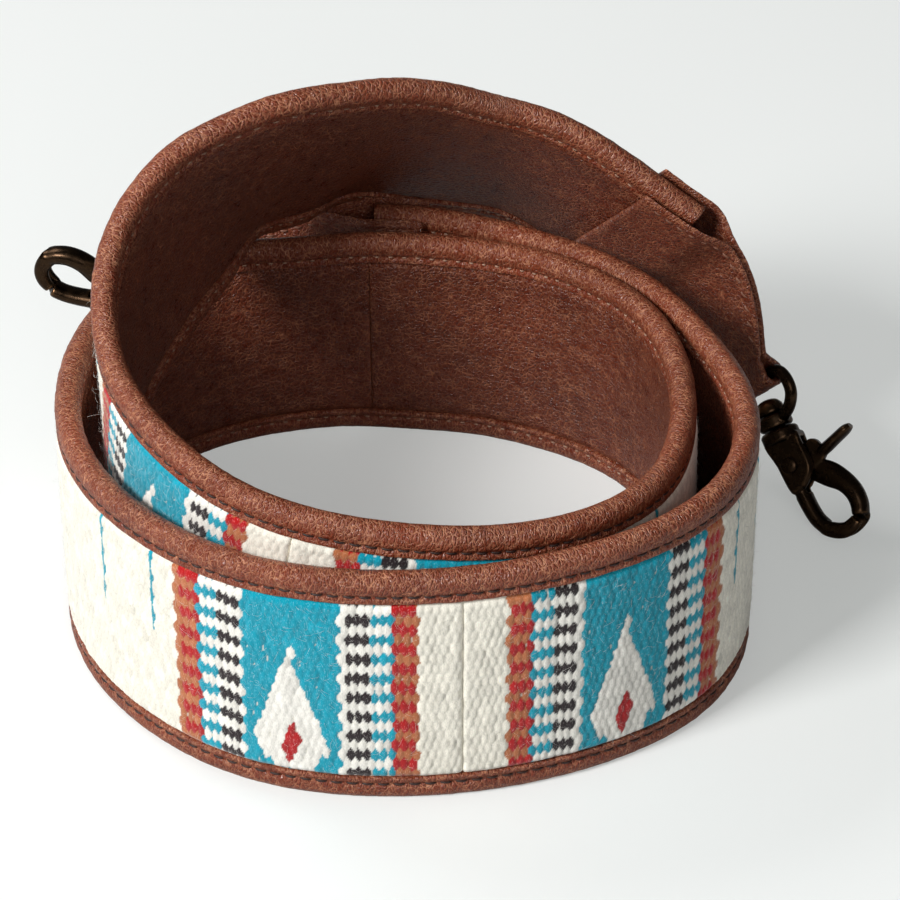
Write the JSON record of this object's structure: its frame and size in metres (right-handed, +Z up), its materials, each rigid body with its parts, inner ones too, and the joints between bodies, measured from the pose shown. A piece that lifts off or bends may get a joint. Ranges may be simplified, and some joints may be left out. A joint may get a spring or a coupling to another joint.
{
  "type": "detachable bag strap",
  "caption": "Wide woven wool and leather bag strap, coiled on its edge, with a swivelling trigger hook on a leather tab at each end.",
  "frame": {"origin": "on the surface that the strap stands on, under the middle of its bounding box", "axes": "+Z up, along the strap's width in its outer turn; +X along the longest side, towards the hook that hangs from the raised end; +Y towards the raised back of the coil"},
  "size_m": [0.1622, 0.1294, 0.0943],
  "materials": {
    "binding_leather": "pebbled, soft sheen",
    "lining_leather": "pebbled, soft sheen",
    "tab_leather": "pebbled, soft sheen",
    "woven_wool": "woven wool, fuzzy",
    "dark_bronze": "antiqued dark bronze plating, satin",
    "spring_steel": "drawn wire"
  },
  "bodies": {
    "strap": {"edge_binding_top": "binding_leather", "edge_binding_bottom": "binding_leather", "lining_1": "lining_leather", "lining_2": "lining_leather", "wool_panel_1": "woven_wool", "wool_panel_2": "woven_wool", "wool_panel_3": "woven_wool", "wool_panel_4": "woven_wool", "end_tab_right": "tab_leather", "end_tab_left": "tab_leather"},
    "eye_right": {"swivel_eye_right": "dark_bronze"},
    "hook_right": {"swivel_stud_right": "dark_bronze", "hook_body_right": "dark_bronze", "lever_pin_right": "dark_bronze", "lever_spring_right": "spring_steel"},
    "trigger_right": {"trigger_lever_right": "dark_bronze"},
    "eye_left": {"swivel_eye_left": "dark_bronze"},
    "hook_left": {"swivel_stud_left": "dark_bronze", "hook_body_left": "dark_bronze", "lever_pin_left": "dark_bronze", "lever_spring_left": "spring_steel"},
    "trigger_left": {"trigger_lever_left": "dark_bronze"}
  },
  "joints": [
    {"name": "eye_swing_right", "type": "hinge", "parent": "strap", "child": "eye_right", "pos_m": [0.06008, 0.03118, 0.02225], "axis": [0.4871, -0.465, 0.7393], "range_deg": [-5, 100]},
    {"name": "hook_swivel_right", "type": "hinge", "parent": "eye_right", "child": "hook_right", "pos_m": [0.06008, 0.03118, 0.02225], "axis": [0.3799, -0.6494, -0.6588], "continuous": true},
    {"name": "trigger_pull_right", "type": "hinge", "parent": "hook_right", "child": "trigger_right", "pos_m": [0.06681, 0.01969, 0.01059], "axis": [-0.3816, -0.7588, 0.5278], "range_deg": [0, 16], "stiffness_Nm_per_rad": 0.03, "springref_deg": -17.19, "deforming": ["lever_spring_right"]},
    {"name": "eye_swing_left", "type": "hinge", "parent": "strap", "child": "eye_left", "pos_m": [-0.04704, 0.05083, 0.0245], "axis": [0, 0, 1], "range_deg": [-100, 28]},
    {"name": "hook_swivel_left", "type": "hinge", "parent": "eye_left", "child": "hook_left", "pos_m": [-0.04704, 0.05083, 0.0245], "axis": [-0.9743, 0.2251, 0], "continuous": true},
    {"name": "trigger_pull_left", "type": "hinge", "parent": "hook_left", "child": "trigger_left", "pos_m": [-0.06428, 0.05481, 0.0245], "axis": [0.2251, 0.9743, 0], "range_deg": [0, 16], "stiffness_Nm_per_rad": 0.03, "springref_deg": -17.19, "deforming": ["lever_spring_left"]}
  ]
}
